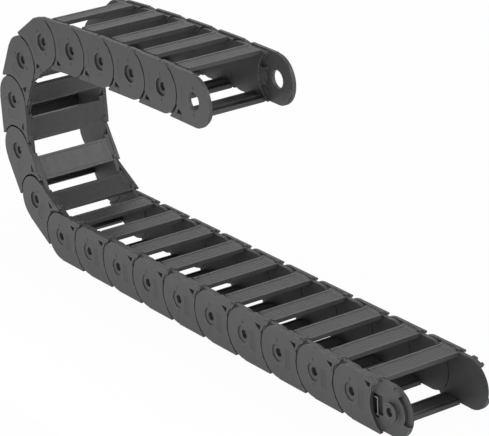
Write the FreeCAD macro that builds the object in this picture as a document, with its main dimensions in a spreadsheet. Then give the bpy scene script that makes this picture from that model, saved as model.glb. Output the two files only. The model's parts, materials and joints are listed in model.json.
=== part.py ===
import FreeCAD, Part
import os

# A cable drag chain of twenty equal links, laid in one loop: a lower run on the floor, a bend of
# six pivots and an upper run. Each link is a near side plate, a far side plate and two crossbars.
# The assembly stands on z = 0, with the origin in the middle of its length and of its width.
# A link's own frame: the origin at its eye, +X to its tongue, +Z to the inner side of the bend.

doc = FreeCAD.newDocument("cable_drag_chain")
sheet = doc.addObject("Spreadsheet::Sheet", "sizes")

# name, millimetres or degrees, what it is
SIZES = (
    ("link_count", 20, "number of links"),
    ("lower_links", 10, "links that lie flat in the lower run"),
    ("bend_joints", 6, "pivots that form the bend"),
    ("pitch", 67.0, "distance between the two pivots of a link"),
    ("stop_angle", 29.5, "largest bend that the stops of one joint allow"),
    ("upper_droop", 1.0, "angle that each joint of the upper run has sunk"),
    ("inner_width", 99.6, "clear width between the tongues"),
    ("tongue_wall", 5.0, "thickness of the tongue layer"),
    ("eye_wall", 4.6, "thickness of the eye layer"),
    ("layer_gap", 0.2, "play across the chain between eye and tongue"),
    ("edge_inner", 30.8, "pivot to the plate edge on the inner side of the bend"),
    ("edge_outer", 31.8, "pivot to the plate edge on the outer side of the bend"),
    ("eye_radius", 31.0, "round end of the eye layer"),
    ("eye_play", 2.3, "gap between the round end and the hollow that it turns in"),
    ("corner_reach", 17.3, "tongue pivot to the corner of the eye layer"),
    ("tongue_radius", 30.0, "round end of the tongue layer"),
    ("tongue_play", 0.7, "gap between the tongue and the recess that it turns in"),
    ("tongue_edge", 29.8, "pivot to the straight edges of the tongue layer"),
    ("web_start", 14.0, "eye pivot to the start of the inner layer"),
    ("bore_radius", 10.75, "bore of the eye"),
    ("bore_play", 0.05, "running clearance of the pin in the bore, on the radius"),
    ("pin_hole_radius", 5.2, "round hollow in the pin's end"),
    ("pin_hole_deep", 7.0, "depth of that hollow"),
    ("core_radius", 2.6, "core that stands in the hollow"),
    ("core_set", 5.0, "core's end behind the pin's end"),
    ("rebate_inner", 20.5, "inner radius of the rebate in the tongue's rim"),
    ("rebate_outer", 31.2, "radius up to which the rebate is open"),
    ("rebate_deep", 4.0, "depth of the rebate"),
    ("rebate_play", 0.4, "gap between the stop and the rebate, on the radius"),
    ("stop_low", 10.1, "pivot height to the lower end of the rebate"),
    ("stop_high", 8.7, "pivot to the line of the rebate's upper end"),
    ("stop_turn", 37.0, "slope of the rebate's upper end"),
    ("stop_play", 0.3, "angle left between the stop and each end of the rebate"),
    ("stop_clear", 0.4, "gap between the stop's face and the rebate's floor"),
    ("window_reach", 17.0, "tongue pivot to the near wall of the catch window"),
    ("window_long", 17.0, "length of the catch window"),
    ("window_low", 12.0, "pivot height to the window's lower wall"),
    ("window_high", 10.6, "pivot height to the window's upper wall"),
    ("window_deep", 3.6, "depth of the catch window"),
    ("foot_reach", 24.0, "tongue pivot to the window's lower part"),
    ("foot_low", 16.8, "pivot height to the floor of the window's lower part"),
    ("frame_reach", 27.6, "tongue pivot to the raised frame in the window"),
    ("frame_low", 15.7, "pivot height to the frame's lower side"),
    ("frame_high", 5.4, "pivot height to the frame's upper side"),
    ("frame_wall", 1.3, "width of the raised frame"),
    ("frame_rise", 1.8, "height of the raised frame above the window's floor"),
    ("catch_reach", 23.0, "eye pivot to the catch block"),
    ("catch_long", 5.0, "length of the catch block"),
    ("catch_low", 4.5, "pivot height to the underside of the catch block"),
    ("catch_tall", 5.0, "height of the catch block"),
    ("catch_clear", 0.5, "gap between the catch block and the raised frame"),
    ("notch_start", 25.5, "eye pivot to the three-cornered notch"),
    ("notch_long", 9.3, "length of the notch"),
    ("notch_base", 18.2, "pivot height to the lower corner of the notch"),
    ("notch_tall", 4.2, "height of the notch"),
    ("notch_deep", 4.0, "depth of the notch"),
    ("tab_start", 41.5, "eye pivot to the clip tab"),
    ("tab_long", 5.5, "length of the clip tab"),
    ("tab_rise", 1.6, "how far the clip tab stands above the plate"),
    ("tab_root", 1.3, "depth of the tab's root in the plate"),
    ("tab_inset", 2.5, "tab set back from the outer face"),
    ("tab_wide", 6.0, "width of the clip tab"),
    ("inner_bar_start", 18.8, "eye pivot to the edge of the inner crossbar"),
    ("inner_bar_long", 30.8, "length of the inner crossbar along the chain"),
    ("outer_bar_start", 21.4, "eye pivot to the edge of the outer crossbar"),
    ("outer_bar_long", 27.8, "length of the outer crossbar along the chain"),
    ("bar_deep", 5.2, "height of a crossbar with its flanges"),
    ("bar_skin", 2.6, "thickness of a crossbar's flat"),
    ("bar_flange", 3.0, "width of a crossbar's flange"),
    ("bar_lip_rise", 0.8, "lip of a crossbar above its flat"),
    ("bar_rib", 1.6, "width of a crossbar's middle ribs"),
    ("bar_rib_reach", 7.4, "middle of the crossbar to a middle rib"),
    ("bar_rib_set", 0.8, "a middle rib ends this much before the flanges"),
    ("bar_foot_lift", 0.4, "outer crossbar lies this much behind the plate edge"),
    ("tenon_long", 14.0, "length of the tenon at a crossbar's end"),
    ("tenon_tall", 2.4, "height of the tenon"),
    ("tenon_deep", 3.0, "how far the tenon enters the side plate"),
    ("tenon_set", 1.8, "tenon behind the crossbar's flat"),
    ("tenon_play", 0.15, "play around the tenon"),
)

row = 1
for alias, number, meaning in SIZES:
    sheet.set("A%d" % row, meaning)
    sheet.set("B%d" % row, str(number))
    sheet.setAlias("B%d" % row, alias)
    row += 1
doc.recompute()

# where the layers of the near side plate lie across the chain
LAYERS = (
    ("tongue_inner_face", "=-inner_width / 2"),
    ("tongue_outer_face", "=-inner_width / 2 - tongue_wall"),
    ("eye_inner_face", "=-inner_width / 2 - tongue_wall - layer_gap"),
    ("outer_face", "=-inner_width / 2 - tongue_wall - layer_gap - eye_wall"),
)
for alias, formula in LAYERS:
    sheet.set("A%d" % row, alias.replace("_", " "))
    sheet.set("B%d" % row, formula)
    sheet.setAlias("B%d" % row, alias)
    row += 1
doc.recompute()


def size(alias):
    return float(sheet.get(alias))


def linked(formula):
    # puts the sheet's name before each alias that a formula uses
    words = []
    for word in formula.split():
        bare = word.strip("()-")
        if bare and (bare[0].isalpha()):
            word = word.replace(bare, "sizes." + bare)
        words.append(word)
    return " ".join(words)


def place(thing, start):
    for axis, formula in zip("xyz", start):
        thing.setExpression("Placement.Base." + axis, linked(formula))


def block(name, start, extent):
    box = doc.addObject("Part::Box", name)
    for side, formula in zip(("Length", "Width", "Height"), extent):
        box.setExpression(side, linked(formula))
    place(box, start)
    return box


# a round piece across the chain
def disc(name, radius, start, thickness):
    drum = doc.addObject("Part::Cylinder", name)
    drum.setExpression("Radius", linked(radius))
    drum.setExpression("Height", linked(thickness))
    drum.Placement.Rotation = FreeCAD.Rotation(FreeCAD.Vector(1, 0, 0), -90)
    place(drum, start)
    return drum


def joined(name, pieces):
    fuse = doc.addObject("Part::MultiFuse", name)
    fuse.Shapes = pieces
    fuse.Refine = True
    return fuse


def without(name, base, tool):
    cut = doc.addObject("Part::Cut", name)
    cut.Base = base
    cut.Tool = tool
    cut.Refine = True
    return cut


def shared(name, pieces):
    common = doc.addObject("Part::MultiCommon", name)
    common.Shapes = pieces
    return common


# a block of plain numbers, turned about a pivot; the turn is seen from the near side
def turned_block(name, pivot, start, extent, turn):
    box = doc.addObject("Part::Box", name)
    box.Length, box.Width, box.Height = extent
    rotation = FreeCAD.Rotation(FreeCAD.Vector(0, 1, 0), -turn)
    box.Placement = FreeCAD.Placement(pivot + rotation.multVec(FreeCAD.Vector(*start)), rotation)
    return box


# a piece of a ring between the line of its lower end and the line of its upper end
def between_ends(name, inner, outer, start, thickness, low_turn, high_turn):
    full = disc(name + "_full", outer, start, thickness)
    core = disc(name + "_core", inner, start, thickness)
    ring = without(name + "_ring", full, core)
    pivot = FreeCAD.Vector(*[0.0 if formula == "0" else size(formula) for formula in start])
    reach = size("rebate_outer") + 2
    extent = (reach, 2 * reach, 2 * reach)
    above = turned_block(name + "_above", pivot, (0, -reach, -size("stop_low")), extent, low_turn)
    high = size("stop_high") - 2 * reach
    below = turned_block(name + "_below", pivot, (0, -reach, high), extent, high_turn)
    return shared(name, [ring, above, below])


EYE = ("0", "outer_face", "0")
TONGUE = ("pitch", "outer_face", "0")

# eye layer: the round end, the straight part, the web to the tongue layer and the hollow for the
# next link's eye
eye_round = disc("eye_round", "eye_radius", EYE, "eye_wall")
eye_bar = block(
    "eye_bar",
    ("0", "outer_face", "-edge_outer"),
    ("pitch - corner_reach", "eye_wall", "edge_outer + edge_inner"),
)
web = block(
    "web",
    ("web_start", "outer_face + eye_wall / 2", "-tongue_edge"),
    ("pitch - corner_reach - web_start", "eye_wall / 2 + layer_gap", "2 * tongue_edge"),
)
eye_blank = joined("eye_blank", [eye_round, eye_bar, web])
eye_band = block(
    "eye_band",
    ("-eye_radius", "outer_face", "-edge_outer"),
    ("eye_radius + pitch", "eye_wall + layer_gap", "edge_outer + edge_inner"),
)
eye_flat = shared("eye_flat", [eye_blank, eye_band])
eye_hollow = disc("eye_hollow", "eye_radius + eye_play", TONGUE, "eye_wall + layer_gap")
eye_layer = without("eye_layer", eye_flat, eye_hollow)

# tongue layer
tongue_start = ("pitch", "tongue_outer_face", "0")
tongue_round = disc("tongue_round", "tongue_radius", tongue_start, "tongue_wall")
tongue_bar = block(
    "tongue_bar",
    ("web_start", "tongue_outer_face", "-tongue_edge"),
    ("pitch - web_start", "tongue_wall", "2 * tongue_edge"),
)
pin = disc("pin", "bore_radius - bore_play", TONGUE, "eye_wall + layer_gap + tongue_wall / 2")

clip_tab = block(
    "clip_tab",
    ("tab_start", "outer_face + tab_inset", "edge_inner - tab_root"),
    ("tab_long", "tab_wide", "tab_root + tab_rise"),
)
plate_blank = joined("plate_blank", [eye_layer, tongue_round, tongue_bar, pin, clip_tab])

# what is taken out of the plate
eye_recess = disc(
    "eye_recess",
    "tongue_radius + tongue_play",
    ("0", "eye_inner_face", "0"),
    "tongue_wall + layer_gap",
)
bore = disc("bore", "bore_radius", EYE, "eye_wall")
pin_hole = disc("pin_hole", "pin_hole_radius", TONGUE, "pin_hole_deep")
rebate = between_ends(
    "rebate", "rebate_inner", "rebate_outer", tongue_start, "rebate_deep", 0.0, size("stop_turn")
)
catch_window = block(
    "catch_window",
    ("pitch - window_reach - window_long", "tongue_outer_face", "-window_low"),
    ("window_long", "window_deep", "window_low + window_high"),
)
window_foot = block(
    "window_foot",
    ("pitch - window_reach - window_long", "tongue_outer_face", "-foot_low"),
    ("window_reach + window_long - foot_reach", "window_deep", "foot_low"),
)
notch = doc.addObject("Part::Wedge", "notch")
for side, formula in (
    ("Xmin", "0"),
    ("Xmax", "notch_long"),
    ("Ymin", "0"),
    ("Ymax", "notch_tall"),
    ("Zmin", "0"),
    ("Zmax", "notch_deep"),
    ("X2min", "notch_long * 0.45"),
    ("X2max", "notch_long * 0.55"),
    ("Z2min", "0"),
    ("Z2max", "notch_deep"),
):
    notch.setExpression(side, linked(formula))
notch.Placement.Rotation = FreeCAD.Rotation(FreeCAD.Vector(1, 0, 0), -90)
place(notch, ("notch_start", "outer_face", "notch_base + notch_tall"))

def socket(name, bar_start, bar_long, low):
    return block(
        name,
        ("%s + %s / 2 - tenon_long / 2 - tenon_play" % (bar_start, bar_long),
         "tongue_inner_face - tenon_deep - tenon_play",
         low),
        ("tenon_long + 2 * tenon_play", "tenon_deep + tenon_play", "tenon_tall + 2 * tenon_play"),
    )


socket_inner = socket(
    "socket_inner",
    "inner_bar_start",
    "inner_bar_long",
    "edge_inner - tenon_set - tenon_tall - bar_lip_rise - tenon_play",
)
socket_outer = socket(
    "socket_outer",
    "outer_bar_start",
    "outer_bar_long",
    "-edge_outer + bar_foot_lift + bar_lip_rise + tenon_set - tenon_play",
)

cuts = joined(
    "cuts",
    [
        eye_recess, bore, pin_hole, rebate, catch_window, window_foot, notch, socket_inner,
        socket_outer,
    ],
)
plate_cut = without("plate_cut", plate_blank, cuts)

# what stands on the eye's inner face
stop = between_ends(
    "stop",
    "rebate_inner + rebate_play",
    "rebate_outer - rebate_play",
    ("0", "eye_inner_face", "0"),
    "layer_gap + rebate_deep - stop_clear",
    size("stop_play"),
    size("stop_turn") - size("stop_angle") - size("stop_play"),
)
catch = block(
    "catch",
    ("-catch_reach - catch_long", "eye_inner_face", "catch_low"),
    ("catch_long", "layer_gap + window_deep - frame_rise - catch_clear", "catch_tall"),
)

# what stands in the hollows of the tongue: the pin's core and an open frame in the catch window
core = disc(
    "core", "core_radius", ("pitch", "outer_face + core_set", "0"), "pin_hole_deep - core_set + layer_gap"
)
frame_y = "tongue_outer_face + window_deep - frame_rise"
frame_depth = "frame_rise + layer_gap"
frame_x = "pitch - window_reach - window_long"
frame_long = "window_reach + window_long - frame_reach"
frame_side = block(
    "frame_side",
    ("pitch - frame_reach - frame_wall", frame_y, "-frame_low"),
    ("frame_wall", frame_depth, "frame_low + frame_high"),
)
frame_bottom = block(
    "frame_bottom", (frame_x, frame_y, "-frame_low"), (frame_long, frame_depth, "frame_wall")
)
frame_top = block(
    "frame_top",
    (frame_x, frame_y, "frame_high - frame_wall"),
    (frame_long, frame_depth, "frame_wall"),
)
near_plate = joined("near_plate", [plate_cut, stop, catch, core, frame_side, frame_bottom, frame_top])
far_plate = doc.addObject("Part::Mirroring", "far_plate")
far_plate.Source = near_plate
far_plate.Normal = FreeCAD.Vector(0, 1, 0)


# a crossbar: a flat with lips at both edges, two flanges, two middle ribs and a tenon at each end;
# "side" is +1 on the inner side of the bend and -1 on the outer side
def crossbar(name, side, edge, bar_start, bar_long):
    across = ("-inner_width / 2", "inner_width")

    def layer(piece, x_start, x_long, depth, height):
        # depth and height are measured from the crossbar's outer edge, towards the pivots
        if side > 0:
            low = "%s - %s - %s" % (edge, depth, height)
        else:
            low = "%s + %s" % (edge, depth)
        return block(name + piece, (x_start, across[0], low), (x_long, across[1], height))

    middle = "%s + %s / 2" % (bar_start, bar_long)
    right = "%s + %s - bar_flange" % (bar_start, bar_long)
    rib_deep = "bar_deep - bar_rib_set - bar_lip_rise"
    pieces = [
        layer("_flat", bar_start, bar_long, "bar_lip_rise", "bar_skin"),
        layer("_left", bar_start, "bar_flange", "0", "bar_deep"),
        layer("_right", right, "bar_flange", "0", "bar_deep"),
        layer("_rib_a", middle + " - bar_rib_reach - bar_rib / 2", "bar_rib", "bar_lip_rise", rib_deep),
        layer("_rib_b", middle + " + bar_rib_reach - bar_rib / 2", "bar_rib", "bar_lip_rise", rib_deep),
    ]
    if side > 0:
        low = "%s - bar_lip_rise - tenon_set - tenon_tall" % edge
    else:
        low = "%s + bar_lip_rise + tenon_set" % edge
    tenon = block(
        name + "_tenon",
        (middle + " - tenon_long / 2", "-inner_width / 2 - tenon_deep", low),
        ("tenon_long", "inner_width + 2 * tenon_deep", "tenon_tall"),
    )
    return joined(name, pieces + [tenon])


inner_bar = crossbar("inner_bar", 1, "edge_inner", "inner_bar_start", "inner_bar_long")
outer_bar = crossbar(
    "outer_bar", -1, "-edge_outer + bar_foot_lift", "outer_bar_start", "outer_bar_long"
)
doc.recompute()


# how far each joint is bent where the chain stands; joint n is between link n and link n + 1
def bend_at(joint):
    if joint < size("lower_links"):
        return 0.0
    if joint < size("lower_links") + size("bend_joints"):
        return size("stop_angle")
    return size("upper_droop")


def copy_at(name, sources, placement):
    node = doc.addObject("Part::Compound", name)
    node.Links = sources
    node.Placement = placement
    node.Label = name
    return node


nodes = []
turned = 0.0
pivot = FreeCAD.Vector(0, 0, size("edge_outer"))
for link in range(1, int(size("link_count")) + 1):
    rotation = FreeCAD.Rotation(FreeCAD.Vector(0, 1, 0), turned)
    eye_point = pivot - rotation.multVec(FreeCAD.Vector(size("pitch"), 0, 0))
    placement = FreeCAD.Placement(eye_point, rotation)
    nodes.append(copy_at("side_plate_near_%02d" % link, [near_plate], placement))
    nodes.append(copy_at("side_plate_far_%02d" % link, [far_plate], placement))
    nodes.append(copy_at("crossbars_%02d" % link, [inner_bar, outer_bar], placement))
    pivot = eye_point
    turned += bend_at(link)
doc.recompute()

# the origin goes to the middle of the chain's length
low_end = min(node.Shape.BoundBox.XMin for node in nodes)
high_end = max(node.Shape.BoundBox.XMax for node in nodes)
to_middle = FreeCAD.Vector(-(low_end + high_end) / 2, 0, 0)
for node in nodes:
    node.Placement = FreeCAD.Placement(to_middle, FreeCAD.Rotation()).multiply(node.Placement)
doc.recompute()

for thing in doc.Objects:
    if "Invalid" in thing.State or "Error" in thing.State:
        raise RuntimeError("not computed: " + thing.Name)
for node in nodes:
    if node.Shape.isNull() or not node.Shape.isValid():
        raise RuntimeError("no valid shape: " + node.Label)

os.makedirs("parts", exist_ok=True)
for node in nodes:
    node.Shape.exportStep(os.path.join("parts", node.Label + ".step"))
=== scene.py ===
import json
import math

import bmesh
import bpy
from mathutils import Matrix, Vector


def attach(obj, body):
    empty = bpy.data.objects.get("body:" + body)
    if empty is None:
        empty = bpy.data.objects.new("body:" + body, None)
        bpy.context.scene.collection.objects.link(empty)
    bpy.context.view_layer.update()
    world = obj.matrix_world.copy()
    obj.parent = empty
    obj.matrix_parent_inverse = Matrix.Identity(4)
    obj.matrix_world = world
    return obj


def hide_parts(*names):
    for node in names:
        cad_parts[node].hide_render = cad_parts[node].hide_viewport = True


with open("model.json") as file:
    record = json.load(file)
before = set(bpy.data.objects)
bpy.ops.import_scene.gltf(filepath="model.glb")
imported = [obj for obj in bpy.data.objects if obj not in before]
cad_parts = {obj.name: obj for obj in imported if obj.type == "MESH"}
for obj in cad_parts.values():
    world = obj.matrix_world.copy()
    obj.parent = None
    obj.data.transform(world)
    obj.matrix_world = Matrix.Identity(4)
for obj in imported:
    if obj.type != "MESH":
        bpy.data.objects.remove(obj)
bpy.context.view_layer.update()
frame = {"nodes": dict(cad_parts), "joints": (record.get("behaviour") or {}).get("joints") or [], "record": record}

# Sizes in metres, in a link's own frame: the origin at its eye pivot, +X to its tongue pivot,
# +Z to the inner side of the bend, the near plate at -Y.
PITCH = 0.067
HALF_WIDTH = 0.0596
EYE_WALL = 0.0046
TONGUE_FACE = 0.0548
EDGE_INNER = 0.0308
EDGE_OUTER = 0.0314
INNER_BAR = (0.0188, 0.0496)
OUTER_BAR = (0.0214, 0.0492)
BAR_LIP = 0.0008
BAR_FLANGE = 0.003

PLATE_BEVEL = 0.0005
BAR_BEVEL = 0.0003
DETAIL_BEVEL = 0.0003
CORE_RADIUS = 0.0027
CORE_TOP, CORE_FOOT = 0.0034, 0.0052
MARK_DEEP = 0.0005
CUTTER_RISE = 0.002
NOTCH_DEEP = 0.0042
SEAM_RADII = (0.0330, 0.0344)
SEAM_ARC = (130, 157)
SEAM_DEEP = 0.0024
FIELD_DEEP = 0.00015
FIELD_START, FIELD_END = 0.0140, 0.0240
FIELD_LOW, FIELD_HIGH = -0.0130, 0.0100
BORE_RADIUS = 0.01075
WINDOW_REACH = 0.017
WINDOW_LONG = 0.017
WINDOW_LOW = 0.0168
WINDOW_HIGH = 0.0106
WINDOW_FLOOR = 0.0036
FRAME_RISE = 0.0018
RIDGE_TALL = 0.0002
RIDGE_SUNK = 0.0002
REBATE_FLOOR = 0.004
REBATE_WALL = (0.019, 0.0215)
WINDOW_SIDE = PITCH - WINDOW_REACH - WINDOW_LONG
LAYER_END = PITCH - 0.0173
REBATE_FLOOR_Y = REBATE_FLOOR - TONGUE_FACE
RECESS_RADIUS = 0.0307
WINDOW_SIDE_REACH = 0.018
SOCKET_EDGE = 0.0296
SOCKET_FLOOR_Y = -0.0534

LINK_COUNT = 20
LINKS = range(1, LINK_COUNT + 1)
FIRST_SUNK_LINK = 12

# angles: below the first two faces are one flat, above the second an edge is rounded and above
# the third it is shown sharp; a rounding needs faces this many times wider than itself
FLAT_ANGLE = math.radians(0.4)
ROUNDED_ANGLE = math.radians(32)
SHARP_ANGLE = math.radians(38)
ROOM_FOR_ROUNDING = 2.1

# tolerances, in metres: points that are one, places that are the same, the same along a wall
SAME_POINT = 0.000002
CLOSE = 0.0002
NEARLY = 0.0003
WALL = 0.0005


def pivots_at_rest():
    mounts = {mount["name"]: mount["pos_m"] for mount in frame["record"]["mounts"]}
    points = [mounts["pin_near"]]
    for joint in sorted(frame["joints"], key=lambda joint: joint["name"]):
        points.append(joint["pos_m"])
    points.append(mounts["bore_near"])
    return [Vector((x, 0.0, z)) for x, _, z in points]


PIVOTS = pivots_at_rest()


def link_frame(link):
    eye = PIVOTS[link]
    along = (PIVOTS[link - 1] - eye).normalized()
    across = Vector((0.0, 1.0, 0.0))
    up = along.cross(across)
    placed = Matrix((along, across, up)).transposed().to_4x4()
    placed.translation = eye
    return placed


# shapes

def show(mesh, name):
    piece = bpy.data.objects.new(name, mesh)
    bpy.context.scene.collection.objects.link(piece)
    return piece


def cleaned_copy(node):
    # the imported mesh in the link's own frame, with its flat faces made whole
    form = bmesh.new()
    form.from_mesh(frame["nodes"][node].data)
    bmesh.ops.transform(form, matrix=link_frame(1).inverted(), verts=form.verts)
    bmesh.ops.remove_doubles(form, verts=form.verts, dist=SAME_POINT)
    bmesh.ops.dissolve_limit(
        form, angle_limit=FLAT_ANGLE, verts=form.verts, edges=form.edges,
        use_dissolve_boundaries=False,
    )
    return form


def has_room(edge, width):
    # true where both faces beside the edge are wide enough for a rounding
    start = edge.verts[0].co
    along = (edge.verts[1].co - start).normalized()
    for face in edge.link_faces:
        reach = max(((vert.co - start).cross(along)).length for vert in face.verts)
        if reach < ROOM_FOR_ROUNDING * width:
            return False
    return True


def in_a_tight_place(edge):
    # the crossbars' sockets, the window's side by the next eye's arc, the corners where the eye
    # layer ends and the foot of the rebate's sides have no room for a rounding
    ends = [vert.co for vert in edge.verts]
    if all(abs(end.x - LAYER_END) < CLOSE for end in ends):
        return True
    if all(abs(end.x - WINDOW_SIDE) < NEARLY and abs(end.z) < WINDOW_SIDE_REACH for end in ends):
        return True
    if all(abs(math.hypot(end.x, end.z) - RECESS_RADIUS) < NEARLY for end in ends):
        return False
    if not edge.is_convex and all(abs(end.y - REBATE_FLOOR_Y) < CLOSE for end in ends):
        return True
    return all(
        INNER_BAR[0] < end.x < INNER_BAR[1] and abs(end.z) < SOCKET_EDGE and end.y > SOCKET_FLOOR_Y
        for end in ends
    )


def softened(form, width, segments=2, left_sharp=None):
    # rounds each sharp edge and marks the rounded faces, so that the finish can pale them, partly as wear and
    # partly as a painted highlight
    sharp = [
        edge for edge in form.edges
        if edge.is_manifold and edge.calc_face_angle(0.0) > ROUNDED_ANGLE
        and has_room(edge, width) and not (left_sharp and left_sharp(edge))
    ]
    rim = form.faces.layers.float.new("rim")
    made = bmesh.ops.bevel(
        form, geom=sharp, offset=width, offset_type="OFFSET", segments=segments,
        profile=0.5, affect="EDGES", clamp_overlap=False, loop_slide=True,
    )
    for face in made["faces"]:
        face[rim] = 1.0
    return form


def as_mesh(form, name):
    mesh = bpy.data.meshes.new(name)
    form.to_mesh(mesh)
    form.free()
    return mesh


def finished(form, name, material):
    # smooth rounded edges beside flats that stay flat: larger faces set the normals
    blank = show(as_mesh(form, name + "_blank"), name + "_blank")
    blank.data.materials.append(material)
    blank.data.shade_smooth()
    blank.data.set_sharp_from_angle(angle=SHARP_ANGLE)
    even = blank.modifiers.new("even", "WEIGHTED_NORMAL")
    even.mode = "FACE_AREA"
    even.weight = 100
    even.keep_sharp = True
    bpy.context.view_layer.update()
    mesh = bpy.data.meshes.new_from_object(
        blank.evaluated_get(bpy.context.evaluated_depsgraph_get())
    )
    mesh.name = name
    bpy.data.objects.remove(blank)
    return mesh


def add_box(form, low, high):
    made = bmesh.ops.create_cube(form, size=1.0)
    centre = (Vector(low) + Vector(high)) / 2
    extent = Vector(high) - Vector(low)
    bmesh.ops.scale(form, vec=extent, verts=made["verts"])
    bmesh.ops.translate(form, vec=centre, verts=made["verts"])


def add_arc_block(form, centre, inner, outer, start, end, low_y, high_y, steps=14):
    # a curved bar about a pivot, from the direction start to the direction end
    rings = []
    for step in range(steps + 1):
        turn = math.radians(start + (end - start) * step / steps)
        ring = []
        for radius, y in ((inner, low_y), (outer, low_y), (outer, high_y), (inner, high_y)):
            x = centre + radius * math.cos(turn)
            z = radius * math.sin(turn)
            ring.append(form.verts.new((x, y, z)))
        rings.append(ring)
    faces = [form.faces.new(rings[0]), form.faces.new(rings[-1])]
    for before, after in zip(rings, rings[1:]):
        for corner in range(4):
            beside = (corner + 1) % 4
            faces.append(form.faces.new(
                (before[corner], before[beside], after[beside], after[corner])
            ))
    bmesh.ops.recalc_face_normals(form, faces=faces)


def add_prism(form, outline, low_y, high_y):
    ends = []
    for y in (low_y, high_y):
        ends.append([form.verts.new((x, y, z)) for x, z in outline])
    faces = [form.faces.new(ends[0]), form.faces.new(ends[1])]
    for corner in range(len(outline)):
        beside = (corner + 1) % len(outline)
        faces.append(form.faces.new(
            (ends[0][corner], ends[0][beside], ends[1][beside], ends[1][corner])
        ))
    bmesh.ops.recalc_face_normals(form, faces=faces)


def add_drum(form, centre, radius, low_y, high_y):
    place = Matrix.Translation((centre, (low_y + high_y) / 2, 0.0))
    bmesh.ops.create_cone(
        form, segments=64, cap_ends=True, radius1=radius, radius2=radius, depth=high_y - low_y,
        matrix=place @ Matrix.Rotation(math.pi / 2, 4, "X"),
    )


def pin_core(sunk):
    # the core that stands in the hollow of the pin's end
    form = bmesh.new()
    face = -HALF_WIDTH + sunk
    add_drum(form, PITCH, CORE_RADIUS, face + CORE_TOP, face + CORE_FOOT)
    return softened(form, DETAIL_BEVEL)


def marks_in_the_plate(sunk):
    # moulded marks: two index ticks, a bare name field, the three-cornered notch, the wider seam
    # beside the next eye; a pin that turns in a bore has sunk behind the plate's face
    form = bmesh.new()
    face = -HALF_WIDTH
    above = face - CUTTER_RISE
    tick_start, tick_end, half_tick = 0.0134, 0.0176, 0.0005
    for low_z, high_z in ((tick_start, tick_end), (-tick_end, -tick_start)):
        add_box(form, (-half_tick, above, low_z), (half_tick, face + MARK_DEEP, high_z))
    add_box(form, (FIELD_START, above, FIELD_LOW), (FIELD_END, face + FIELD_DEEP, FIELD_HIGH))
    add_arc_block(form, PITCH, *SEAM_RADII, *SEAM_ARC, above, face + SEAM_DEEP)
    add_prism(
        form, [(0.0252, 0.0228), (0.0362, 0.0228), (0.0336, 0.0168), (0.0320, 0.0168)],
        above, face + NOTCH_DEEP,
    )
    if sunk > 0.0:
        add_drum(form, PITCH, BORE_RADIUS + CLOSE, above, face + sunk)
    bmesh.ops.recalc_face_normals(form, faces=form.faces)
    return form


def highlight_shade_and_tone_places(form, bare, painted_shade_and_tone, field_darkening):
    # the frame in the catch window stands proud, and its top gets a painted highlight; painted shade
    # darkens the window and the wall of the rebate, and a thin darker tone lies in the name field
    frame_y = -TONGUE_FACE + WINDOW_FLOOR - FRAME_RISE
    for face in form.faces:
        middle = face.calc_center_median()
        from_pin = math.hypot(middle.x - PITCH, middle.z)
        in_window = (
            WINDOW_SIDE - WALL < middle.x < PITCH - WINDOW_REACH + WALL
            and -WINDOW_LOW - WALL < middle.z < WINDOW_HIGH + WALL
            and -TONGUE_FACE + CLOSE < middle.y < -TONGUE_FACE + WINDOW_FLOOR + CLOSE
        )
        # the top of the frame gets a painted highlight, in the colour bare
        if in_window and abs(middle.y - frame_y) < CLOSE and face.normal.y < -0.9:
            face[bare] = 1.0
        # painted shade in the rest of the catch window
        elif in_window:
            face[painted_shade_and_tone] = 1.0
        # painted shade on the wall of the rebate
        elif (
            REBATE_WALL[0] < from_pin < REBATE_WALL[1] and middle.x > PITCH
            and abs(face.normal.y) < 0.5
            and -TONGUE_FACE + 0.0004 < middle.y < -TONGUE_FACE + REBATE_FLOOR
        ):
            face[painted_shade_and_tone] = 1.0
        elif (
            FIELD_START < middle.x < FIELD_END and FIELD_LOW < middle.z < FIELD_HIGH
            and abs(middle.y + HALF_WIDTH - FIELD_DEEP) < 0.00005
        ):
            face[painted_shade_and_tone] = field_darkening


def plate_form(sunk, field_darkening):
    plate = show(as_mesh(cleaned_copy("side_plate_near_01"), "plate_blank"), "plate_blank")
    marks = show(as_mesh(marks_in_the_plate(sunk), "plate_marks"), "plate_marks")
    cut = plate.modifiers.new("marks", "BOOLEAN")
    cut.operation = "DIFFERENCE"
    cut.solver = "EXACT"
    cut.object = marks
    bpy.context.view_layer.update()
    whole = bpy.data.meshes.new_from_object(
        plate.evaluated_get(bpy.context.evaluated_depsgraph_get())
    )
    bpy.data.objects.remove(plate)
    bpy.data.objects.remove(marks)
    form = bmesh.new()
    form.from_mesh(whole)
    bmesh.ops.remove_doubles(form, verts=form.verts, dist=SAME_POINT)
    softened(form, PLATE_BEVEL, left_sharp=in_a_tight_place)
    for layer in ("bare", "painted_shade_and_tone"):
        form.faces.layers.float.new(layer)
    places = form.faces.layers.float
    highlight_shade_and_tone_places(form, places["bare"], places["painted_shade_and_tone"], field_darkening)
    return form


def corner_pad():
    # the slightly raised pad between the notch and the plate's inner edge
    form = bmesh.new()
    face = -HALF_WIDTH
    add_prism(
        form, [(0.0262, 0.0302), (0.0276, 0.0240), (0.0372, 0.0240), (0.0452, 0.0285),
               (0.0462, 0.0302)],
        face - 0.00035, face + 0.0003,
    )
    return softened(form, 0.0002)


def tongue_lugs():
    # two low lugs at the upper rim of the bare tongue
    form = bmesh.new()
    face = -TONGUE_FACE
    for start, end, inner, outer in ((58, 65, 0.0276, 0.0302), (79, 93, 0.0268, 0.0306)):
        add_arc_block(form, PITCH, inner, outer, start, end, face - 0.0022, face + 0.0006, steps=6)
    return softened(form, DETAIL_BEVEL)


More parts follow.
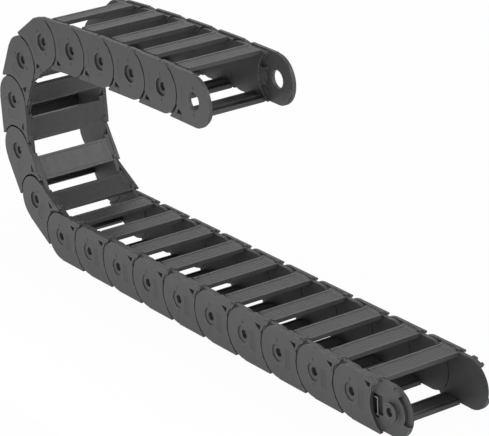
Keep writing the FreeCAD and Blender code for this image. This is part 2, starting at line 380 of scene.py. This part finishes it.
def eye_ledges():
    # the ledge and the small block on the inner face of the open eye
    form = bmesh.new()
    face = -HALF_WIDTH + EYE_WALL
    add_arc_block(form, 0.0, 0.0258, 0.0298, 112, 163, face - 0.0004, face + 0.0022, steps=16)
    add_box(form, (0.0268, face - 0.0004, 0.0118), (0.0300, face + 0.0020, 0.0160))
    return softened(form, DETAIL_BEVEL)


def mirrored(source):
    form = source.copy()
    bmesh.ops.scale(form, vec=(1.0, -1.0, 1.0), verts=form.verts)
    bmesh.ops.reverse_faces(form, faces=form.faces)
    return form


def crossbar_form():
    form = cleaned_copy("crossbars_01")
    softened(form, BAR_BEVEL)
    return form


# shading

def grain_and_wear():
    # fine moulded grain, slow cloudiness and paler rims, which are partly wear and partly a painted highlight, for
    # every plastic of the chain
    group = bpy.data.node_groups.new("grain_and_wear", "ShaderNodeTree")
    face = group.interface
    for name, kind, value in (
        ("Plastic colour", "NodeSocketColor", (0.1, 0.1, 0.1, 1.0)),
        ("Wear and highlight colour", "NodeSocketColor", (0.2, 0.2, 0.2, 1.0)),
        ("Rim", "NodeSocketFloat", 0.0),
        ("Rim wear and highlight", "NodeSocketFloat", 0.5),
        ("Cloudiness", "NodeSocketFloat", 0.15),
        ("Grain per metre", "NodeSocketFloat", 1800.0),
        ("Grain depth", "NodeSocketFloat", 0.00004),
        ("Base roughness", "NodeSocketFloat", 0.5),
    ):
        socket = face.new_socket(name=name, in_out="INPUT", socket_type=kind)
        socket.default_value = value
    face.new_socket(name="Colour", in_out="OUTPUT", socket_type="NodeSocketColor")
    face.new_socket(name="Roughness", in_out="OUTPUT", socket_type="NodeSocketFloat")
    face.new_socket(name="Normal", in_out="OUTPUT", socket_type="NodeSocketVector")

    nodes = group.nodes
    link = group.links.new
    given = nodes.new("NodeGroupInput")
    result = nodes.new("NodeGroupOutput")
    place = nodes.new("ShaderNodeTexCoord")

    grain = nodes.new("ShaderNodeTexNoise")
    grain.inputs["Detail"].default_value = 2.0
    link(place.outputs["Object"], grain.inputs["Vector"])
    link(given.outputs["Grain per metre"], grain.inputs["Scale"])
    bump = nodes.new("ShaderNodeBump")
    bump.inputs["Strength"].default_value = 0.6
    link(grain.outputs["Fac"], bump.inputs["Height"])
    link(given.outputs["Grain depth"], bump.inputs["Distance"])
    link(bump.outputs["Normal"], result.inputs["Normal"])

    cloud = nodes.new("ShaderNodeTexNoise")
    cloud.inputs["Scale"].default_value = 80.0
    cloud.inputs["Detail"].default_value = 6.0
    cloud.inputs["Roughness"].default_value = 0.75
    link(place.outputs["Object"], cloud.inputs["Vector"])
    spread = nodes.new("ShaderNodeMapRange")
    spread.inputs["From Min"].default_value = 0.3
    spread.inputs["From Max"].default_value = 0.7
    spread.inputs["To Min"].default_value = -0.5
    spread.inputs["To Max"].default_value = 0.5
    link(cloud.outputs["Fac"], spread.inputs["Value"])
    amount = nodes.new("ShaderNodeMath")
    amount.operation = "MULTIPLY"
    link(spread.outputs["Result"], amount.inputs[0])
    link(given.outputs["Cloudiness"], amount.inputs[1])
    factor = nodes.new("ShaderNodeMath")
    factor.operation = "ADD"
    factor.inputs[1].default_value = 1.0
    link(amount.outputs[0], factor.inputs[0])
    clouded = nodes.new("ShaderNodeVectorMath")
    clouded.operation = "SCALE"
    link(given.outputs["Plastic colour"], clouded.inputs[0])
    link(factor.outputs[0], clouded.inputs["Scale"])

    patches = nodes.new("ShaderNodeTexNoise")
    patches.inputs["Scale"].default_value = 140.0
    patches.inputs["Detail"].default_value = 3.0
    link(place.outputs["Object"], patches.inputs["Vector"])
    patchy = nodes.new("ShaderNodeMapRange")
    patchy.inputs["From Min"].default_value = 0.38
    patchy.inputs["From Max"].default_value = 0.62
    link(patches.outputs["Fac"], patchy.inputs["Value"])
    # the paler rims stand partly for wear and partly for a painted highlight on the edges
    wear_and_highlight = nodes.new("ShaderNodeMath")
    wear_and_highlight.operation = "MULTIPLY"
    link(patchy.outputs["Result"], wear_and_highlight.inputs[0])
    link(given.outputs["Rim"], wear_and_highlight.inputs[1])
    mask = nodes.new("ShaderNodeMath")
    mask.operation = "MULTIPLY"
    link(wear_and_highlight.outputs[0], mask.inputs[0])
    link(given.outputs["Rim wear and highlight"], mask.inputs[1])
    colour = nodes.new("ShaderNodeMix")
    colour.data_type = "RGBA"
    link(mask.outputs[0], colour.inputs["Factor"])
    link(clouded.outputs["Vector"], colour.inputs["A"])
    link(given.outputs["Wear and highlight colour"], colour.inputs["B"])
    link(colour.outputs["Result"], result.inputs["Colour"])

    polish = nodes.new("ShaderNodeMath")
    polish.operation = "MULTIPLY_ADD"
    polish.inputs[1].default_value = -0.12
    link(mask.outputs[0], polish.inputs[0])
    link(given.outputs["Base roughness"], polish.inputs[2])
    uneven = nodes.new("ShaderNodeMath")
    uneven.operation = "MULTIPLY_ADD"
    uneven.inputs[1].default_value = 0.08
    link(spread.outputs["Result"], uneven.inputs[0])
    link(polish.outputs[0], uneven.inputs[2])
    link(uneven.outputs[0], result.inputs["Roughness"])
    return group


def plastic(name, group, colour, wear_and_highlight, bare, roughness, wear, cloudiness, grain, depth):
    material = bpy.data.materials.new(name)
    material.use_nodes = True
    nodes = material.node_tree.nodes
    link = material.node_tree.links.new
    surface = nodes["Principled BSDF"]
    surface.inputs["IOR"].default_value = 1.5
    finish = nodes.new("ShaderNodeGroup")
    finish.node_tree = group
    finish.inputs["Plastic colour"].default_value = (*colour, 1.0)
    finish.inputs["Wear and highlight colour"].default_value = (*wear_and_highlight, 1.0)
    finish.inputs["Rim wear and highlight"].default_value = wear
    finish.inputs["Cloudiness"].default_value = cloudiness
    finish.inputs["Grain per metre"].default_value = grain
    finish.inputs["Grain depth"].default_value = depth
    finish.inputs["Base roughness"].default_value = roughness
    rim = nodes.new("ShaderNodeAttribute")
    rim.attribute_name = "rim"
    link(rim.outputs["Fac"], finish.inputs["Rim"])
    # the attribute bare marks the top of the window's frame, which gets a painted highlight
    place = nodes.new("ShaderNodeAttribute")
    place.attribute_name = "bare"
    frame_highlight_mix = nodes.new("ShaderNodeMix")
    frame_highlight_mix.data_type = "RGBA"
    frame_highlight_mix.inputs["B"].default_value = (*bare, 1.0)
    link(place.outputs["Fac"], frame_highlight_mix.inputs["Factor"])
    link(finish.outputs["Colour"], frame_highlight_mix.inputs["A"])
    # painted shade in the catch window and on the rebate's wall, and a thin darker tone in the name field, mixed
    # towards near black
    shade_and_tone_mask = nodes.new("ShaderNodeAttribute")
    shade_and_tone_mask.attribute_name = "painted_shade_and_tone"
    shade_and_tone_mix = nodes.new("ShaderNodeMix")
    shade_and_tone_mix.data_type = "RGBA"
    shade_and_tone_mix.inputs["B"].default_value = (0.018, 0.018, 0.019, 1.0)
    link(shade_and_tone_mask.outputs["Fac"], shade_and_tone_mix.inputs["Factor"])
    link(frame_highlight_mix.outputs["Result"], shade_and_tone_mix.inputs["A"])
    link(shade_and_tone_mix.outputs["Result"], surface.inputs["Base Color"])
    link(finish.outputs["Roughness"], surface.inputs["Roughness"])
    link(finish.outputs["Normal"], surface.inputs["Normal"])
    return material


GRAIN_AND_WEAR = grain_and_wear()
# the colour bare is a painted highlight on the window frame's top; the second colour pales the rims, partly as
# wear and partly as a painted highlight
PLATE_PLASTIC = plastic(
    "plate_plastic", GRAIN_AND_WEAR, (0.062, 0.063, 0.065), (0.20, 0.20, 0.205),
    bare=(0.30, 0.30, 0.305), roughness=0.52, wear=0.7, cloudiness=0.34, grain=1900.0, depth=0.00005,
)
BAR_PLASTIC = plastic(
    "bar_plastic", GRAIN_AND_WEAR, (0.060, 0.061, 0.063), (0.15, 0.15, 0.155),
    bare=(0.30, 0.30, 0.305), roughness=0.46, wear=0.5, cloudiness=0.28, grain=1500.0, depth=0.00004,
)


# the fine ridges that repeat across a crossbar's flat

def ridge_tree():
    tree = bpy.data.node_groups.new("crossbar_ridges", "GeometryNodeTree")
    face = tree.interface
    face.new_socket(name="Geometry", in_out="INPUT", socket_type="NodeSocketGeometry")
    for name, kind in (
        ("Ridges", "NodeSocketInt"),
        ("First ridge", "NodeSocketVector"),
        ("Step", "NodeSocketVector"),
        ("Ridge size", "NodeSocketVector"),
        ("Plastic", "NodeSocketMaterial"),
    ):
        face.new_socket(name=name, in_out="INPUT", socket_type=kind)
    face.new_socket(name="Geometry", in_out="OUTPUT", socket_type="NodeSocketGeometry")
    nodes = tree.nodes
    link = tree.links.new
    given = nodes.new("NodeGroupInput")
    result = nodes.new("NodeGroupOutput")
    row = nodes.new("GeometryNodeMeshLine")
    row.mode = "OFFSET"
    link(given.outputs["Ridges"], row.inputs["Count"])
    link(given.outputs["First ridge"], row.inputs["Start Location"])
    link(given.outputs["Step"], row.inputs["Offset"])
    ridge = nodes.new("GeometryNodeMeshCube")
    link(given.outputs["Ridge size"], ridge.inputs["Size"])
    copies = nodes.new("GeometryNodeInstanceOnPoints")
    link(row.outputs["Mesh"], copies.inputs["Points"])
    link(ridge.outputs["Mesh"], copies.inputs["Instance"])
    real = nodes.new("GeometryNodeRealizeInstances")
    link(copies.outputs["Instances"], real.inputs["Geometry"])
    coat = nodes.new("GeometryNodeSetMaterial")
    link(real.outputs["Geometry"], coat.inputs["Geometry"])
    link(given.outputs["Plastic"], coat.inputs["Material"])
    link(coat.outputs["Geometry"], result.inputs["Geometry"])
    return tree


RIDGE_TREE = ridge_tree()


def ridge_row(count, first, step, size):
    carrier = show(bpy.data.meshes.new("ridge_carrier"), "ridge_carrier")
    row = carrier.modifiers.new("ridges", "NODES")
    row.node_group = RIDGE_TREE
    values = {
        "Ridges": count,
        "First ridge": first,
        "Step": step,
        "Ridge size": size,
        "Plastic": BAR_PLASTIC,
    }
    for socket in RIDGE_TREE.interface.items_tree:
        if socket.in_out == "INPUT" and socket.name in values:
            row[socket.identifier] = values[socket.name]
    bpy.context.view_layer.update()
    mesh = bpy.data.meshes.new_from_object(
        carrier.evaluated_get(bpy.context.evaluated_depsgraph_get())
    )
    bpy.data.objects.remove(carrier)
    return mesh


def ridges_on(side):
    # side is +1 for the inner crossbar and -1 for the outer one
    edge = EDGE_INNER if side > 0 else EDGE_OUTER
    start, end = INNER_BAR if side > 0 else OUTER_BAR
    height = side * (edge - BAR_LIP + RIDGE_TALL / 2 - RIDGE_SUNK / 2)
    middle = (start + end) / 2
    flat = end - start - 2 * BAR_FLANGE - 0.001
    tall = RIDGE_TALL + RIDGE_SUNK
    long_count, long_step, long_size = 5, 0.0042, (0.0009, 0.078, tall)
    end_count, end_start, end_step, end_size = 3, 0.0412, 0.0028, (flat, 0.0011, tall)
    first = (middle - long_step * (long_count - 1) / 2, 0.0, height)
    rows = [ridge_row(long_count, first, (long_step, 0.0, 0.0), long_size)]
    for way in (-1, 1):
        first = (middle, way * end_start, height)
        rows.append(ridge_row(end_count, first, (0.0, way * end_step, 0.0), end_size))
    return rows


def both_ridges():
    whole = bmesh.new()
    for side in (1, -1):
        for row in ridges_on(side):
            whole.from_mesh(row)
    mesh = as_mesh(whole, "ridge_form")
    mesh.materials.append(BAR_PLASTIC)
    return mesh


# the chain

def placed_copy(form, link, name, node, body):
    mesh = form.copy()
    mesh.name = name
    mesh.transform(link_frame(link))
    piece = show(mesh, name)
    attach(piece, body)
    if node:
        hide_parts(node)


def joined_forms(forms):
    whole = bmesh.new()
    whole.faces.layers.float.new("rim")
    whole.faces.layers.float.new("bare")
    whole.faces.layers.float.new("painted_shade_and_tone")
    for form in forms:
        mesh = as_mesh(form, "part_of_form")
        whole.from_mesh(mesh)
        bpy.data.meshes.remove(mesh)
    return whole


def plate_pair(name, sunk, field_darkening):
    # the near plate and its mirror copy
    near = joined_forms([plate_form(sunk, field_darkening), corner_pad(), pin_core(sunk)])
    far = mirrored(near)
    return (
        finished(near, "near_plate_" + name, PLATE_PLASTIC),
        finished(far, "far_plate_" + name, PLATE_PLASTIC),
    )


# the bare pin is flush; the pins of the lower run have sunk a little, the others more
BARE_PIN = plate_pair("bare", 0.0, 0.3)
LOW_PIN = plate_pair("low", 0.0013, 0.3)
SUNK_PIN = plate_pair("sunk", 0.0025, 0.1)
bar_form = finished(crossbar_form(), "crossbar_form", BAR_PLASTIC)
ridge_form = both_ridges()

for link in LINKS:
    body = "link_%02d" % link
    plates = SUNK_PIN
    if link == 1:
        plates = BARE_PIN
    elif link < FIRST_SUNK_LINK:
        plates = LOW_PIN
    for side, plate in zip(("near", "far"), plates):
        placed_copy(
            plate, link, "%s_plate_%02d" % (side, link),
            "side_plate_%s_%02d" % (side, link), body,
        )
    placed_copy(
        bar_form, link, "crossbar_pair_%02d" % link, "crossbars_%02d" % link, body,
    )
    placed_copy(ridge_form, link, "crossbar_ridges_%02d" % link, None, body)

for link, details, name in (
    (1, tongue_lugs, "tongue_lugs"),
    (LINK_COUNT, eye_ledges, "eye_ledges"),
):
    near_details = details()
    far_details = mirrored(near_details)
    for side, form in (("near", near_details), ("far", far_details)):
        piece_name = "%s_%s" % (name, side)
        mesh = finished(form, piece_name + "_form", PLATE_PLASTIC)
        placed_copy(mesh, link, piece_name, None, "link_%02d" % link)


# floor, light and camera

def pale_floor():
    form = bmesh.new()
    bmesh.ops.create_grid(form, x_segments=1, y_segments=1, size=9.0)
    bmesh.ops.translate(form, vec=(0.0, 0.0, -0.0003), verts=form.verts)
    floor = show(as_mesh(form, "studio_floor"), "studio_floor")
    material = bpy.data.materials.new("floor_paper")
    material.use_nodes = True
    nodes = material.node_tree.nodes
    link = material.node_tree.links.new
    surface = nodes["Principled BSDF"]
    surface.inputs["Base Color"].default_value = (0.93, 0.93, 0.93, 1.0)
    surface.inputs["Roughness"].default_value = 0.95
    surface.inputs["Specular IOR Level"].default_value = 0.0
    glow = nodes.new("ShaderNodeEmission")
    glow.inputs["Color"].default_value = (1.0, 1.0, 1.0, 1.0)
    ray = nodes.new("ShaderNodeLightPath")
    share = nodes.new("ShaderNodeMath")
    share.operation = "MULTIPLY_ADD"
    share.inputs[1].default_value = 0.52
    share.inputs[2].default_value = 0.45
    link(ray.outputs["Is Camera Ray"], share.inputs[0])
    blend = nodes.new("ShaderNodeMixShader")
    link(share.outputs[0], blend.inputs["Fac"])
    link(surface.outputs["BSDF"], blend.inputs[1])
    link(glow.outputs["Emission"], blend.inputs[2])
    link(blend.outputs["Shader"], nodes["Material Output"].inputs["Surface"])
    floor.data.materials.append(material)


def sky():
    world = bpy.data.worlds.new("studio")
    bpy.context.scene.world = world
    world.use_nodes = True
    nodes = world.node_tree.nodes
    link = world.node_tree.links.new
    soft = nodes["Background"]
    soft.inputs["Color"].default_value = (1.0, 1.0, 1.0, 1.0)
    soft.inputs["Strength"].default_value = 0.58
    white = nodes.new("ShaderNodeBackground")
    white.inputs["Color"].default_value = (1.0, 1.0, 1.0, 1.0)
    white.inputs["Strength"].default_value = 1.0
    ray = nodes.new("ShaderNodeLightPath")
    blend = nodes.new("ShaderNodeMixShader")
    link(ray.outputs["Is Camera Ray"], blend.inputs["Fac"])
    link(soft.outputs["Background"], blend.inputs[1])
    link(white.outputs["Background"], blend.inputs[2])
    link(blend.outputs["Shader"], nodes["World Output"].inputs["Surface"])


def lamp(name, toward, strength, softness):
    light = bpy.data.lights.new(name, "SUN")
    light.energy = strength
    light.angle = softness
    lit = bpy.data.objects.new(name, light)
    bpy.context.scene.collection.objects.link(lit)
    lit.rotation_euler = Vector(toward).to_track_quat("-Z", "Y").to_euler()


def low_strip(power):
    # a long low light before the chain, which the camera doesn't see
    light = bpy.data.lights.new("low_strip", "AREA")
    light.shape = "RECTANGLE"
    light.size = 1.3
    light.size_y = 0.08
    light.energy = power
    strip = bpy.data.objects.new("low_strip", light)
    bpy.context.scene.collection.objects.link(strip)
    strip.location = (-0.05, -0.32, 0.045)
    strip.rotation_euler = (math.pi / 2, 0.0, 0.0)
    strip.visible_camera = False


def camera():
    # worked out from the near-side pivots in the photograph, in pitches from the first pivot
    focal_pixels = 2508.7
    centre_x, centre_y = 251.3, 226.3
    azimuth = math.radians(56.294)
    elevation = math.radians(21.220)
    roll = math.radians(-3.120)
    aim_along, aim_up, distance = -3.5731, 2.0771, 41.0919
    image_wide, image_tall = 489.0, 436.0
    sensor_wide = 36.0

    back = Vector((
        math.sin(azimuth) * math.cos(elevation),
        -math.cos(azimuth) * math.cos(elevation),
        math.sin(elevation),
    ))
    right = Vector((math.cos(azimuth), math.sin(azimuth), 0.0))
    up = back.cross(right)
    right_rolled = right * math.cos(roll) + up * math.sin(roll)
    up_rolled = up * math.cos(roll) - right * math.sin(roll)
    start = PIVOTS[0] + Vector((0.0, -HALF_WIDTH, 0.0))
    place = start + (Vector((aim_along, 0.0, aim_up)) + back * distance) * PITCH

    lens = bpy.data.cameras.new("photo_camera")
    lens.sensor_fit = "HORIZONTAL"
    lens.sensor_width = sensor_wide
    lens.lens = focal_pixels / image_wide * sensor_wide
    lens.shift_x = 0.5 - centre_x / image_wide
    lens.shift_y = (centre_y - image_tall / 2) / image_wide
    lens.clip_end = 50.0
    view = bpy.data.objects.new("photo_camera", lens)
    bpy.context.scene.collection.objects.link(view)
    turned = Matrix((right_rolled, up_rolled, back)).transposed().to_4x4()
    turned.translation = place
    view.matrix_world = turned
    bpy.context.scene.camera = view


pale_floor()
sky()
lamp("key_light", (-0.68, -0.52, -0.51), 0.9, 0.3)
lamp("back_light", (0.776, -0.517, -0.362), 0.17, 0.5)
low_strip(0.56)
camera()
bpy.context.scene.view_settings.view_transform = "Standard"
